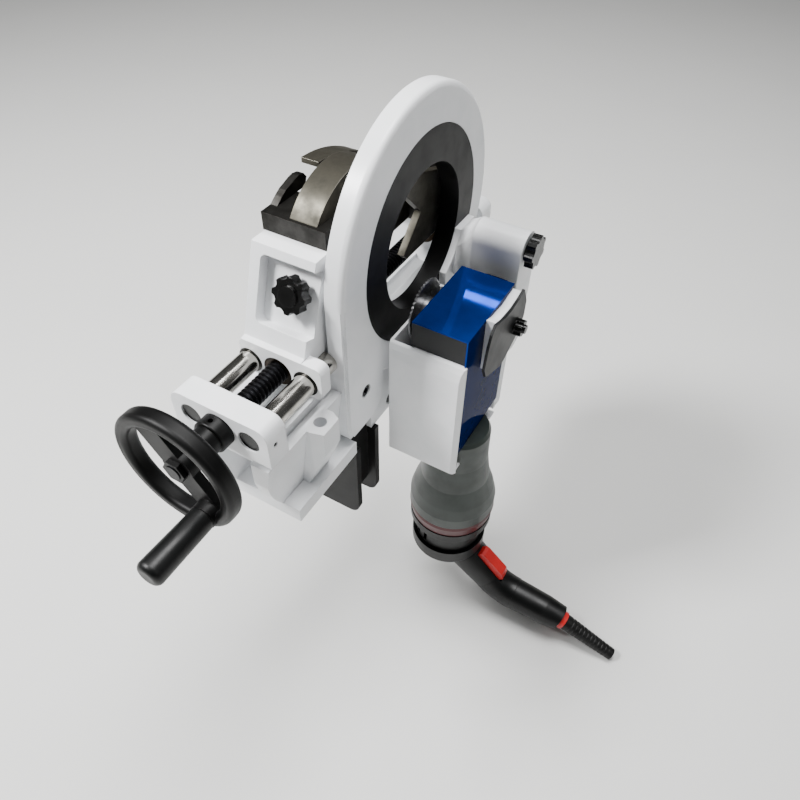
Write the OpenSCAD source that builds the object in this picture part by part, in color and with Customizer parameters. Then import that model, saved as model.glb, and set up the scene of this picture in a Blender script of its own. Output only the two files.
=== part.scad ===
// Portable pipe cutting machine. A vise with a hand wheel holds the pipe, and a saw head
// with its motor orbits round the pipe on a ball bearing in the ring plate.
// X runs along the pipe towards the saw head, Y from the hand wheel to the rear, Z up.
// The origin is on the pipe axis, in the front face of the ring plate.

/* [Pipe] */
// Outer diameter of the pipe that the jaws are closed on
pipe_d = 60.3; // [56:0.1:64]

/* [Ring plate] */
// Outer diameter of the ring plate
ring_d = 296; // [290:1:302]
// Thickness of the ring plate
ring_t = 20; // [19:0.5:23]
// Rounding of the ring plate's front edge
ring_round = 6; // [2:0.5:8]
// Diameter of the orbiting disc
rotor_d = 225; // [222:0.5:228]
// Diameter of the pipe opening in the disc
opening_d = 153; // [148:1:156]
// Pitch diameter of the ball bearing
ball_pitch_d = 194; // [193:0.5:195]
// Diameter of the bearing balls
ball_d = 6; // [5:0.5:6]
// Number of bearing balls
ball_count = 24; // [12:1:36]
// Width of the leg under the ring
leg_w = 68; // [60:1:76]

/* [Base casting] */
// Width of the base casting
base_w = 108; // [106:1:116]
// Depth of the underside below the pipe axis
base_drop = 199; // [196:1:204]
// Depth of the deck below the pipe axis
deck_drop = 98; // [97:0.5:100]
// Thickness of the base flange
flange_t = 18; // [12:1:20]
// Distance of the front end wall's face from the pipe axis
front_reach = 272; // [270:1:280]
// Thickness of both end walls
end_wall_t = 25; // [22:0.5:26]
// Height of both end walls
end_wall_h = 45.5; // [43:0.5:47]
// Distance of the far end wall's rear face from the pipe axis
rear_reach = 175; // [173:1:180]
// Wall of the base casting
base_wall = 8; // [6:0.5:10]
// Diameter of the hole in the lifting lug
lug_hole_d = 13; // [10:0.5:14]
// Diameter of the tapped holes in the underside
foot_hole_d = 8.5; // [6:0.5:10]

/* [Vise] */
// Depth of the lead screw below the pipe axis
screw_drop = 62; // [61:0.5:63]
// Diameter of the lead screw
screw_d = 22; // [18:0.5:22.5]
// Diameter of the lead screw's journals
journal_d = 20; // [16:0.5:20]
// Diameter of the guide rods
rod_d = 23; // [18:0.5:24]
// Distance between the guide rods
rod_spread = 64.8; // [63:0.2:66]
// Width of the vise jaws along the pipe
jaw_w = 69; // [66:0.5:70]
// Lean of the carriage's front from the vertical
carriage_lean = 19; // [15:0.5:21]
// Thickness of the jaw plates
jaw_t = 12; // [10:0.5:13]
// Radius of the rounded backs of the claws
claw_r = 78; // [76:0.5:80]

/* [Hand wheel] */
// Outer diameter of the hand wheel
wheel_d = 125; // [115:1:126]
// Width of the hand wheel's rim
wheel_w = 17; // [14:0.5:18]
// Thickness of the rim from its inner to its outer diameter
rim_t = 13.5; // [11:0.5:15]
// Width of the two spokes
spoke_w = 26; // [20:1:30]
// Length of the crank grip
grip_l = 66; // [50:1:75]
// Diameter of the crank grip
grip_d = 26; // [20:0.5:28]

/* [Saw head] */
// Diameter of the saw blade
blade_d = 68; // [60:1:70]
// Thickness of the saw blade
blade_t = 2; // [1.2:0.2:2.4]
// Number of teeth of the saw blade
blade_teeth = 44; // [24:2:60]
// Diameter of the blade arbor
arbor_d = 16; // [12:0.5:16]
// Depth of the blade arbor below the pipe axis
arbor_drop = 59; // [58:0.5:60]
// Diameter of the pivot shaft
pivot_d = 16; // [12:0.5:17]
// Teeth of the motor pinion
pinion_teeth = 12; // [12:1:12]
// Teeth of the crown gear
crown_teeth = 24; // [24:1:24]
// Width of the head across the pipe
head_w = 108; // [104:1:110]
// Thickness of the blue guard sheet
guard_t = 1.5; // [1:0.1:2]

/* [Motor] */
// Largest radius of the motor case
case_r = 55; // [50:0.5:56]
// Radius of the motor case at the gear housing
neck_r = 37; // [35:0.5:39]
// Radius of the rear housing
rear_r = 50; // [46:0.5:51]
// Radius of the grip at the motor
handle_r = 27; // [25:0.5:28]
// Radius of the grip's bend
bend_grip_r = 22.5; // [21:0.5:24]
// Radius of the grip at its end
end_grip_r = 21; // [19:0.5:22]
// Width of the paddle switch
paddle_w = 16; // [12:1:28]

/* [Hidden] */
$fn = 64;
// Radial clearance of pieces that are pressed or bolted together
seat = 0.02;
// Radial clearance of a shaft that turns or a rod that slides
run = 0.05;
// Gap between faces that pass each other
gap = 0.3;
// Overlap of cutting shapes past the faces that they cut
past = 1;

vise_x = -base_w / 2;
screw_z = -screw_drop;
base_z = -base_drop;
deck_z = -deck_drop;
front_y = -front_reach;
wall_top = screw_z + 21.5;
wall_bottom = wall_top - end_wall_h;
wall_back = front_y + end_wall_t;
far_wall_y = rear_reach - end_wall_t;
wall_out = base_w / 2 - ring_t;
wall_in = wall_out - base_wall;
ledge_out = base_w / 2 - 7;
ring_y = -4;
ring_z = 3;
leg_y = ring_y - ring_d / 2;
leg_z = -172;
foot_x = -6;
pipe_r = pipe_d / 2;
v_apex = pipe_r * sqrt(2);
rod_x = rod_spread / 2;
rod_tip = leg_y - gap;
rod_seat = 12;

// Outline with x along Y and y along Z, drawn out along X from x0
module along_x(x0, len) {
  translate([x0, 0, 0]) rotate([90, 0, 90]) linear_extrude(len) children();
}

// Outline with x along X and y along Z, drawn out along Y from y0
module along_y(y0, len) {
  translate([0, y0 + len, 0]) rotate([90, 0, 0]) linear_extrude(len) children();
}

// Round bar along X
module bar_x(x0, len, r) {
  translate([x0, 0, 0]) rotate([0, 90, 0]) cylinder(h = len, r = r);
}

// Round bar along Y
module bar_y(y0, len, r) {
  translate([0, y0, 0]) rotate([-90, 0, 0]) cylinder(h = len, r = r);
}

// Profile of radius and height, turned about the X axis
module turned_x(x0) {
  translate([x0, 0, 0]) rotate([0, 90, 0]) rotate_extrude() children();
}

// Profile of radius and height, turned about an axis along Y
module turned_y(y0) {
  translate([0, y0, 0]) rotate([-90, 0, 0]) rotate_extrude() children();
}

module rounded(w, h, r) {
  translate([r, 0]) square([w - 2 * r, h]);
  translate([0, r]) square([w, h - 2 * r]);
  for (x = [r, w - r], y = [r, h - r]) translate([x, y]) circle(r);
}

// Socket-head screw along +Z with its head on top of z = 0
module cap_screw(d, len) {
  difference() {
    union() {
      cylinder(h = d, d = 1.6 * d);
      translate([0, 0, -len]) cylinder(h = len + past, d = d);
    }
    translate([0, 0, d / 2]) cylinder(h = d, d = 0.9 * d, $fn = 6);
  }
}

// Base casting

module base_side(sx) {
  translate([vise_x, 0, 0]) mirror([sx < 0 ? 1 : 0, 0, 0]) {
    along_y(front_y + 2, rear_reach - front_y - 2)
      translate([wall_in, base_z]) square([base_wall, deck_z - base_z]);
    along_y(front_y + 2, leg_y - gap - front_y - 2)
      polygon([[wall_in, base_z], [wall_out, base_z], [wall_out, base_z + flange_t],
        [ledge_out, deck_z], [wall_in, deck_z]]);
  }
}

corner_r = 13;
module end_wall(y0) {
  along_y(y0, end_wall_t) translate([-base_w, wall_bottom]) {
    square([base_w, end_wall_h - corner_r]);
    translate([corner_r, 0]) square([base_w - 2 * corner_r, end_wall_h]);
    for (x = [corner_r, base_w - corner_r]) translate([x, end_wall_h - corner_r]) circle(corner_r);
  }
}

lug_y = -208;
lug_w = 28;
lug_out = 10;
lug_hole_x = -3;
lug_hole_y = lug_y + lug_w / 2 - 1.5;
lug_hole_l = 30;
module lug() {
  // Post that stands out from the ledge and runs back into the flange
  intersection() {
    along_y(lug_y - 4, lug_w + 8) polygon([
      [-ring_t - 1, deck_z], [lug_out, deck_z], [lug_out, deck_z - lug_hole_l], [4, deck_z - 44],
      [-12, base_z + flange_t - 1], [-ring_t - 1, base_z + flange_t - 1]
    ]);
    translate([0, lug_y, base_z]) linear_extrude(deck_z - base_z) polygon([
      [-ring_t - 1, -4], [-4, -4], [lug_out, 0], [lug_out, lug_w - 3], [0, lug_w + 2], [-ring_t - 1, lug_w + 2]
    ]);
  }
}

arch_top = wall_bottom - 18;
arch_z = base_z + flange_t;
flange_front = front_y + 26;
module front_arch() {
  // Sweeps the side walls back in a curve, from the front end wall down to the flange
  along_x(-base_w - past, base_w + 2 * past) polygon(concat(
    [[front_y - past, arch_top], [front_y - past, base_z - past], [flange_front, base_z - past]],
    [for (t = [1 : -0.1 : 0]) [front_y + (flange_front - front_y) * t * t, arch_top + (arch_z - arch_top) * t]]
  ));
}

boss_w = 18;
bracket_y = -141;
bracket_w = 48;
module base_casting() {
  color("whitesmoke") difference() {
    union() {
      end_wall(front_y);
      end_wall(far_wall_y);
      difference() {
        union() {
          base_side(1);
          base_side(-1);
        }
        front_arch();
      }
      // Deck that the carriages slide on, between the walls
      translate([vise_x - wall_out, wall_back - 15, deck_z - base_wall])
        cube([2 * wall_out, rear_reach - wall_back + 15, base_wall]);
      // Posts that carry both end walls
      for (y = [wall_back - 15, far_wall_y])
        translate([vise_x - wall_out, y, deck_z - 1])
          cube([2 * wall_out, y > 0 ? end_wall_t : 15, wall_bottom - deck_z + 10]);
      // Base flange
      translate([-base_w, flange_front, base_z]) cube([base_w, bracket_y - flange_front, flange_t]);
      translate([-base_w, bracket_y, base_z])
        cube([base_w / 2 - wall_in, rear_reach - bracket_y, flange_t]);
      // Bosses for the bracket screws
      for (s = [-1, 1])
        translate([vise_x + s * (wall_in - boss_w / 2) - boss_w / 2, bracket_y, base_z])
          cube([boss_w, bracket_w, flange_t + 6]);
      lug();
      // Rail beside the carriage
      translate([-ring_t - rail_w, wall_back - 1, deck_z - 1]) cube([rail_w, rod_tip - wall_back + 1, rail_h + 1]);
      // Cross web behind the arch
      translate([vise_x - wall_in, front_y + 55, base_z + flange_t]) cube([2 * wall_in, base_wall, 78]);
    }
    // Opening between the side walls in the flange
    translate([vise_x - wall_in, front_y + 55 + base_wall, base_z - past])
      cube([2 * wall_in, bracket_y - front_y - 55 - base_wall, flange_t + 2 * past]);
    // Slot for the keels of the carriages
    translate([vise_x - keel_w / 2 - gap, wall_back + 4, deck_z - base_wall - past])
      cube([keel_w + 2 * gap, far_wall_y - wall_back - 8, base_wall + 2 * past]);
    // Guide rods and their screws
    for (s = [-1, 1]) translate([vise_x + s * rod_x, 0, screw_z]) {
      bar_y(front_y - past, end_wall_t + 2 * past, rod_d / 2 + seat);
    }
    // Tapped holes of the screws that hold the rods
    for (x = [-base_w - past, -rod_edge]) translate([0, rod_screw_y, screw_z])
      bar_x(x, rod_edge + past, rod_screw_d / 2 + 0.1);
    // Groove at the rail's foot
    translate([-ring_t, wall_back, deck_z - 2]) cube([1.2, rod_tip - wall_back, 3]);
    // Bushes of the lead screw
    translate([vise_x, 0, screw_z]) {
      bar_y(front_y - past, end_wall_t + 2 * past, bush_r + seat);
      bar_y(far_wall_y - past, end_wall_t + 2 * past, bush_r + seat);
    }
    // Hole in the lug
    translate([lug_hole_x, lug_hole_y, deck_z - lug_hole_l]) cylinder(h = lug_hole_l + past, d = lug_hole_d);
    // Tapped holes in the underside
    for (x = [-foot_dx, foot_dx], y = [-foot_dy, foot_dy])
      translate([vise_x + x, foot_y + y, base_z - past]) cylinder(h = flange_t - 4 + past, d = foot_hole_d);
    // Tapped holes for the bracket screws and the ring plate's screws
    for (s = [-1, 1]) translate([vise_x + s * (wall_in - boss_w / 2), bracket_y + bracket_w / 2, base_z - past])
      cylinder(h = 18 + past, d = bracket_bolt_d + 0.2);
    for (p = ring_bolt_places)
      translate([0, p[0], p[1]]) bar_x(-ring_t - base_wall - past, base_wall + 2 * past, ring_bolt_d / 2 + 0.1);
  }
}

keel_w = 16;
bush_r = 15.5;
rod_screw_d = 5;
rod_screw_y = front_y + 10;
rod_edge = base_w / 2 - rod_x - rod_d / 2;
rail_w = 4;
rail_h = 9;
foot_dx = 44;
foot_dy = 35;
foot_y = -193;
bracket_bolt_d = 8;
ring_bolt_d = 8;
ring_bolt_places = [[-118, -121.5], [-60, -186], [0, -186], [58, -186]];

rod_start = front_y + 5;
module guide_rods() {
  color("silver") for (s = [-1, 1]) translate([vise_x + s * rod_x, 0, screw_z])
    bar_y(rod_start, rod_tip - rod_start, rod_d / 2);
}

module rod_screws() {
  color("dimgray") for (s = [0, 1]) translate([vise_x, rod_screw_y, screw_z]) mirror([s, 0, 0]) difference() {
    bar_x(base_w / 2 - rod_edge + 0.2, rod_edge - 1.5, rod_screw_d / 2);
    translate([base_w / 2 - 4, 0, 0]) rotate([0, 90, 0]) cylinder(h = 5, d = rod_screw_d / 2, $fn = 6);
  }
}

module screw_bushes() {
  color("darkgoldenrod") translate([vise_x, 0, screw_z]) for (y = [front_y, far_wall_y]) difference() {
    bar_y(y, end_wall_t, bush_r);
    bar_y(y - past, end_wall_t + 2 * past, journal_d / 2 + run);
  }
}

// Ring plate, bearing and orbiting disc

recess_t = 8;
race_x = -recess_t - 1;
race_w = 8;
race_t = 4;
race_rear = race_x - race_w;
ball_r = ball_d / 2;
outer_race_r = ball_pitch_d / 2 + ball_r + race_t;
inner_race_r = ball_pitch_d / 2 - ball_r - race_t;
retainer_r = outer_race_r + 12;

module ring_plate() {
  color("whitesmoke") difference() {
    union() {
      translate([0, ring_y, ring_z]) turned_x(-ring_t) {
        square([ring_d / 2 - ring_round, ring_t]);
        square([ring_d / 2, ring_t - ring_round]);
        translate([ring_d / 2 - ring_round, ring_t - ring_round]) circle(ring_round);
      }
      along_x(-ring_t, ring_t - 3) leg_outline(0);
      along_x(-ring_t, ring_t) leg_outline(3);
      // Foot, set back from the leg's face
      along_x(-ring_t, ring_t + foot_x)
        polygon([[leg_y + leg_w - 17, base_z], [72, base_z], [86, -115], [leg_y + leg_w - 17, -90]]);
    }
    bar_x(-recess_t, recess_t + past, rotor_d / 2 + gap);
    bar_x(race_x - past, 2 * past, outer_race_r - 2.5);
    bar_x(race_rear - past, race_w + past, outer_race_r + seat);
    bar_x(-ring_t - past, ring_t + race_rear + past, retainer_r + seat);
    for (p = ring_bolt_places) translate([0, p[0], p[1]]) {
      bar_x(-ring_t - past, ring_t + 2 * past, ring_bolt_d / 2 + 0.1);
      bar_x(ring_bolt_head(p), ring_t, ring_bolt_d);
    }
  }
}

function ring_bolt_head(p) = (p[0] < leg_y + leg_w - 17 ? 0 : foot_x) - ring_bolt_d - 1;

module leg_outline(inset) {
  polygon([
    [leg_y + inset, ring_z], [leg_y + inset, leg_z + 16], [leg_y + 5 + inset, leg_z + inset],
    [leg_y + leg_w - 22, leg_z + inset], [leg_y + leg_w - 8, leg_z + 8 + inset],
    [leg_y + leg_w, leg_z + 24], [leg_y + leg_w, -100], [0, ring_z]
  ]);
}

module ring_bolts() {
  color("dimgray") for (p = ring_bolt_places)
    translate([ring_bolt_head(p), p[0], p[1]]) rotate([0, 90, 0])
      cap_screw(ring_bolt_d, ring_bolt_head(p) + ring_t + base_wall - 1);
}

module race_groove() {
  turned_x(race_x - race_w / 2) translate([ball_pitch_d / 2, 0]) circle(ball_r + gap, $fn = 32);
}

module bearing_outer() {
  color("silver") difference() {
    bar_x(race_rear, race_w, outer_race_r);
    bar_x(race_rear - past, race_w + 2 * past, outer_race_r - race_t);
    race_groove();
  }
}

module bearing_inner() {
  color("silver") difference() {
    bar_x(race_rear, race_w, inner_race_r + race_t);
    bar_x(race_rear - past, race_w + 2 * past, inner_race_r + seat);
    race_groove();
  }
}

module bearing_balls() {
  color("lightgray") for (i = [0 : ball_count - 1])
    rotate([i * 360 / ball_count, 0, 0]) translate([race_x - race_w / 2, ball_pitch_d / 2, 0]) sphere(ball_r);
}

module bearing_retainer() {
  color("dimgray") difference() {
    bar_x(-ring_t, ring_t + race_rear, retainer_r);
    bar_x(-ring_t - past, ring_t + race_rear + 2 * past, ball_pitch_d / 2 + 1.5);
    for (a = [30 : 60 : 330]) rotate([a, 0, 0]) translate([0, outer_race_r + 6, 0])
      bar_x(-ring_t - past, 2, 4);
  }
}

hub_rear = -ring_t - 2.5;
module rotor_disc() {
  color("#1c1c1e") difference() {
    union() {
      bar_x(-recess_t + 0.5, recess_t - 0.5, rotor_d / 2);
      bar_x(hub_rear, -hub_rear, inner_race_r);
      bar_x(race_x, 2, inner_race_r + race_t - 1);
    }
    bar_x(hub_rear - past, -hub_rear + 2 * past, opening_d / 2);
    difference() {
      bar_x(race_rear - clip_t - 0.1, clip_t + 0.1, inner_race_r + past);
      bar_x(race_rear - clip_t - past, clip_t + 2 * past, inner_race_r - 2);
    }
  }
}

clip_t = 2;
module circlip() {
  color("gray") difference() {
    bar_x(race_rear - clip_t, clip_t, inner_race_r + 2.5);
    bar_x(race_rear - clip_t - past, clip_t + 2 * past, inner_race_r - 2 + seat);
    translate([race_rear - clip_t - past, -5, inner_race_r - 10]) cube([clip_t + 2 * past, 10, 20]);
  }
}

// Bench bracket

plate_t = 8;
bracket_x = -base_w + 8;
bracket_l = base_w - 9;
bracket_z = -317;
module bench_bracket() {
  color("#202022") difference() {
    union() {
      for (y = [bracket_y, bracket_y + bracket_w - plate_t]) along_y(y, plate_t) {
        translate([bracket_x, bracket_z]) rounded(bracket_l, 60, 14);
        translate([bracket_x, bracket_z + 20]) square([bracket_l, base_z - bracket_z - 20]);
      }
      translate([-ring_t, bracket_y, bracket_z + 27]) cube([plate_t, bracket_w, base_z - bracket_z - 27]);
      translate([-ring_t, bracket_y, base_z - 1]) cube([plate_t, bracket_w - plate_t - 1, 25]);
      translate([bracket_x, bracket_y, base_z - plate_t]) cube([base_w - 28, bracket_w, plate_t]);
    }
    for (s = [-1, 1]) translate([vise_x + s * (wall_in - boss_w / 2), bracket_y + bracket_w / 2, base_z - 30])
      cylinder(h = 40, d = bracket_bolt_d + 0.2);
    translate([bracket_hole_x, 0, bracket_hole_z]) bar_y(bracket_y - past, bracket_w + 2 * past, 6.5);
  }
}
bracket_hole_x = vise_x;
bracket_hole_z = -285;

module bracket_bolts() {
  color("dimgray") for (s = [-1, 1])
    translate([vise_x + s * (wall_in - boss_w / 2), bracket_y + bracket_w / 2, base_z - plate_t])
      rotate([180, 0, 0]) cap_screw(bracket_bolt_d, plate_t + 16);
}

// Vise carriage with the near jaw

carriage_y = -188;
foot_t = 14;
block_back = -100;
block_top = 50;
block_z = deck_z + gap;
face_y = carriage_y + 6;
panel_x = vise_x + 7;
panel_z = 15;
block_x = -base_w + 13.5;
block_w = base_w - ring_t - rail_w - 14;
module carriage() {
  color("whitesmoke") difference() {
    union() {
      along_y(carriage_y, foot_t) translate([vise_x - 44, screw_z - 15]) rounded(95, 38.5, 8);
      along_x(block_x, block_w) polygon([
        [carriage_y, screw_z - 15], [carriage_y, screw_z + 23.5], [face_y, screw_z + 25],
        [face_y + (block_top - screw_z - 25) * tan(carriage_lean), block_top],
        [block_back, block_top], [block_back, block_z], [carriage_y + foot_t, block_z],
        [carriage_y + foot_t, screw_z - 15]
      ]);
      translate([vise_x - keel_w / 2, carriage_y + foot_t, deck_z - base_wall])
        cube([keel_w, block_back - carriage_y - foot_t, base_wall + 2]);
    }
    // Recessed panel of the leaning front
    on_panel() translate([-36, -38, 0]) linear_extrude(30) rounded(62, 66, 6);
    on_panel() translate([0, 0, -26]) cylinder(h = 30, r = stud_r + run);
    // Guide rods with their bushes
    for (s = [-1, 1]) translate([vise_x + s * rod_x, 0, screw_z]) {
      bar_y(carriage_y - past, foot_t + past, rod_d / 2 + 2 + seat);
      bar_y(carriage_y, -carriage_y - 118, rod_d / 2 + gap);
    }
    // Lead screw and its nut
    translate([vise_x, 0, screw_z]) {
      bar_y(carriage_y - past, 41, nut_r + seat);
      bar_y(carriage_y - past, 200, screw_d / 2 + 1);
    }
    for (x = near_bolt_x, z = near_bolt_z) translate([x, 0, z]) bar_y(block_back - 24, 25, jaw_bolt_d / 2 + 0.1);
  }
}
nut_r = 16;
stud_r = 4;
panel_depth = 12;
jaw_bolt_d = 7;
near_bolt_x = [vise_x - 23.5, vise_x + 21.8];
near_bolt_z = [-22, 34];

// Places children on the recessed panel, with z square to it and outwards
module on_panel() {
  translate([panel_x, face_y + (panel_z - screw_z - 25) * tan(carriage_lean), panel_z])
    rotate([90 - carriage_lean, 0, 0]) translate([0, 0, -panel_depth]) children();
}

module carriage_bushes() {
  color("#2a2a2a") for (s = [-1, 1]) translate([vise_x + s * rod_x, 0, screw_z]) difference() {
    bar_y(carriage_y - 0.5, foot_t + 0.5, rod_d / 2 + 2);
    bar_y(carriage_y - past, foot_t + 2 * past, rod_d / 2 + run);
  }
}

module lead_nut() {
  color("darkgoldenrod") translate([vise_x, 0, screw_z]) difference() {
    bar_y(carriage_y + 0.5, 39.5, nut_r);
    bar_y(carriage_y - past, 42, screw_d / 2 + run);
  }
}

// Angle-shaped block that carries the claws: a bar on top and a plate down the back
module angle_block(y_back, y_face) {
  along_x(-ring_t - 7 - jaw_w, jaw_w) {
    translate([min(y_back, y_face), block_top]) square([abs(y_face - y_back), 18]);
    translate([y_face > 0 ? y_face : y_face - jaw_t, -44]) square([jaw_t, block_top + 44 + past]);
  }
}

near_face = block_back + jaw_t;
module jaw_block() {
  color("#3a3a3c") difference() {
    angle_block(-133, near_face);
    for (x = near_bolt_x, z = near_bolt_z) translate([x, 0, z]) bar_y(block_back - past, 20, jaw_bolt_d / 2 + 0.1);
  }
}

module jaw_bolts() {
  color("dimgray") for (x = near_bolt_x, z = near_bolt_z)
    translate([x, near_face, z]) rotate([-90, 0, 0]) cap_screw(jaw_bolt_d, jaw_t + 20);
}

// Outline of a claw that opens towards +Y: a round back, a hook over the pipe and a V
module claw_outline() {
  difference() {
    intersection() {
      translate([-68, 20]) circle(claw_r);
      polygon([[-140, 68], [-88, 68], [-88, -44], [-14, -44], [-6, -36], [-4, 37], [-30, 112], [-140, 112]]);
    }
    polygon([[-v_apex, 0], [90 - v_apex, 90], [90 - v_apex, -90]]);
  }
}

module claw_main() {
  color("#6d6c66") along_x(vise_x - 13, 29) claw_outline();
}

module claw_side() {
  color("#4a4a48") along_x(vise_x - 42, 7.5) polygon([
    [-119, 68], [-111, 73.4], [-104.5, 77], [-98, 79], [-90, 81.4], [-84, 82.4], [-76.5, 81], [-72.5, 76], [-76, 68]
  ]);
}

// Far carriage, driven the other way by the left-hand end of the screw

far_face = 88;
far_back = far_face + jaw_t;
far_end = 118;
module far_carriage() {
  color("whitesmoke") difference() {
    union() {
      along_x(block_x, block_w)
        polygon([[far_back, block_z], [far_end, block_z], [far_end, block_top - 30], [far_end - 8, block_top],
          [far_back, block_top]]);
      translate([vise_x - keel_w / 2, far_back, deck_z - base_wall])
        cube([keel_w, far_end - far_back - 5, base_wall + 2]);
    }
    translate([vise_x, 0, screw_z]) bar_y(far_back - past, far_end - far_back + 2 * past, nut_r + seat);
    for (x = far_bolt_x, z = near_bolt_z) translate([x, 0, z]) bar_y(far_back - past, 17, jaw_bolt_d / 2 + 0.1);
  }
}
far_bolt_x = [vise_x - 36, vise_x + 1];

module far_nut() {
  color("darkgoldenrod") translate([vise_x, 0, screw_z]) difference() {
    bar_y(far_back, far_end - far_back, nut_r);
    bar_y(far_back - past, far_end - far_back + 2 * past, screw_d / 2 + run);
  }
}

module far_jaw_block() {
  color("#3a3a3c") difference() {
    angle_block(far_end - 8, far_face);
    for (x = far_bolt_x, z = near_bolt_z) translate([x, 0, z]) bar_y(far_face - past, 20, jaw_bolt_d / 2 + 0.1);
  }
}

module far_jaw_bolts() {
  color("dimgray") for (x = far_bolt_x, z = near_bolt_z)
    translate([x, far_face, z]) rotate([90, 0, 0]) cap_screw(jaw_bolt_d, jaw_t + 14);
}

strap_y = -85;
strap_z = -60;
strap_r = 158.5;
strap_t = 5;
module strap_outline() {
  // Strap that bends over the near claw
  intersection() {
    translate([-80, 60]) square([92, 50]);
    difference() {
      translate([strap_y, strap_z]) circle(strap_r, $fn = 128);
      translate([strap_y, strap_z]) circle(strap_r - strap_t, $fn = 128);
    }
  }
}

module far_claw_outline() {
  difference() {
    polygon([[14, -44], [far_face, -44], [far_face, 44], [52, 50], [28, 52], [20, 60], [11, 66], [0, 74],
      [-2, 60], [4, 37], [6, -36]]);
    polygon([[v_apex, 0], [v_apex - 60, 60], [v_apex - 60, -60]]);
  }
}

module far_claws() {
  color("#8a877c") {
    along_x(vise_x - 30, 15) far_claw_outline();
    along_x(vise_x - 33, 19) strap_outline();
    along_x(vise_x + 18, 8) difference() {
      polygon([[far_face, 30], [far_face, -44], [14, -44], [6, -36], [6, 36], [30, 50]]);
      polygon([[v_apex, 0], [v_apex - 90, 90], [v_apex - 90, -90]]);
    }
  }
}

// Lead screw and hand wheel

wheel_front = -332.6;
wheel_back = wheel_front + wheel_w;
web_y = wheel_back - 8;
collar_l = 14;
hub_r = 14.5;
shaft_r = 8;
shaft_step = front_y - collar_l - gap;
module lead_screw() {
  color("#2b2b2b") translate([vise_x, 0, screw_z]) {
    bar_y(web_y - 7, shaft_step - web_y + 7, shaft_r);
    bar_y(shaft_step, wall_back + gap - shaft_step, journal_d / 2);
    bar_y(wall_back + gap, far_wall_y - wall_back - 2 * gap, screw_d / 2);
    bar_y(far_wall_y - gap, end_wall_t, journal_d / 2);
  }
}

module thrust_collar() {
  color("#1c1c1e") translate([vise_x, 0, screw_z]) difference() {
    turned_y(front_y - collar_l - gap) {
      square([15, collar_l]);
      translate([0, 2]) square([17, collar_l - 2]);
      translate([15, 2]) circle(2);
    }
    bar_y(front_y - collar_l - gap - past, collar_l + 2 * past, journal_d / 2 + seat);
    translate([0, front_y - collar_l / 2 - gap, 8]) cylinder(h = 12, d = 5);
  }
}

grip_angle = -55;
grip_r = 46.5;
module handwheel() {
  color("#1c1c1e") translate([vise_x, 0, screw_z]) difference() {
    union() {
      turned_y(wheel_front) translate([wheel_d / 2 - rim_t, 0]) rounded(rim_t, wheel_w, 5);
      along_y(web_y - 1, 9) intersection() {
        circle(wheel_d / 2 - rim_t + 2);
        union() {
          rotate(grip_angle) translate([-wheel_d / 2, -spoke_w / 2]) square([wheel_d, spoke_w]);
          circle(hub_r + 2);
        }
      }
      bar_y(web_y - 1, shaft_step - web_y + 1, hub_r);
      rotate([0, -grip_angle, 0]) translate([grip_r, 0, 0]) bar_y(wheel_front - 2, wheel_w + 2, 12.5);
    }
    bar_y(web_y - 20, 80, shaft_r + seat);
    rotate([0, -grip_angle, 0]) translate([grip_r, 0, 0]) bar_y(wheel_front - 10, wheel_w + 20, pin_r + seat);
  }
}

pin_r = 5;
module grip_pin() {
  color("silver") translate([vise_x, 0, screw_z]) rotate([0, -grip_angle, 0]) translate([grip_r, 0, 0]) {
    bar_y(wheel_front - 2 - grip_l + 10, grip_l + wheel_w - 9, pin_r);
  }
}

module wheel_nut() {
  color("gray") translate([vise_x, web_y - 1, screw_z]) difference() {
    rotate([90, 0, 0]) cylinder(h = 5, r = 12, $fn = 6);
    bar_y(-10, 20, shaft_r + seat);
  }
}

module crank_grip() {
  color("#141414") translate([vise_x, 0, screw_z]) rotate([0, -grip_angle, 0]) translate([grip_r, 0, 0])
    difference() {
      turned_y(wheel_front - 2 - gap - grip_l) {
        polygon([[0, 0], [grip_d / 2 - 6, 0], [grip_d / 2, 6], [grip_d / 2 - 1, grip_l], [0, grip_l]]);
        translate([grip_d / 2 - 6, 6]) circle(6);
      }
      bar_y(wheel_front - 2 - grip_l + 9, grip_l + 20, pin_r + run);
    }
}

// Star knob on the carriage's panel

knob_r = 18;
module star_knob() {
  color("#161616") on_panel() {
    translate([0, 0, gap]) cylinder(h = 5, r = 9);
    translate([0, 0, 5]) difference() {
      cylinder(h = 11, r = knob_r);
      for (a = [0 : 45 : 315]) rotate(a + 22.5) translate([knob_r + 2.5, 0, -past]) cylinder(h = 20, r = 5.5);
    }
    translate([0, 0, 15]) cylinder(h = 3, r = 10);
    translate([0, 0, -22]) cylinder(h = 26, r = stud_r);
  }
}

// Bracket on the orbiting disc that carries the pivot of the saw head

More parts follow.
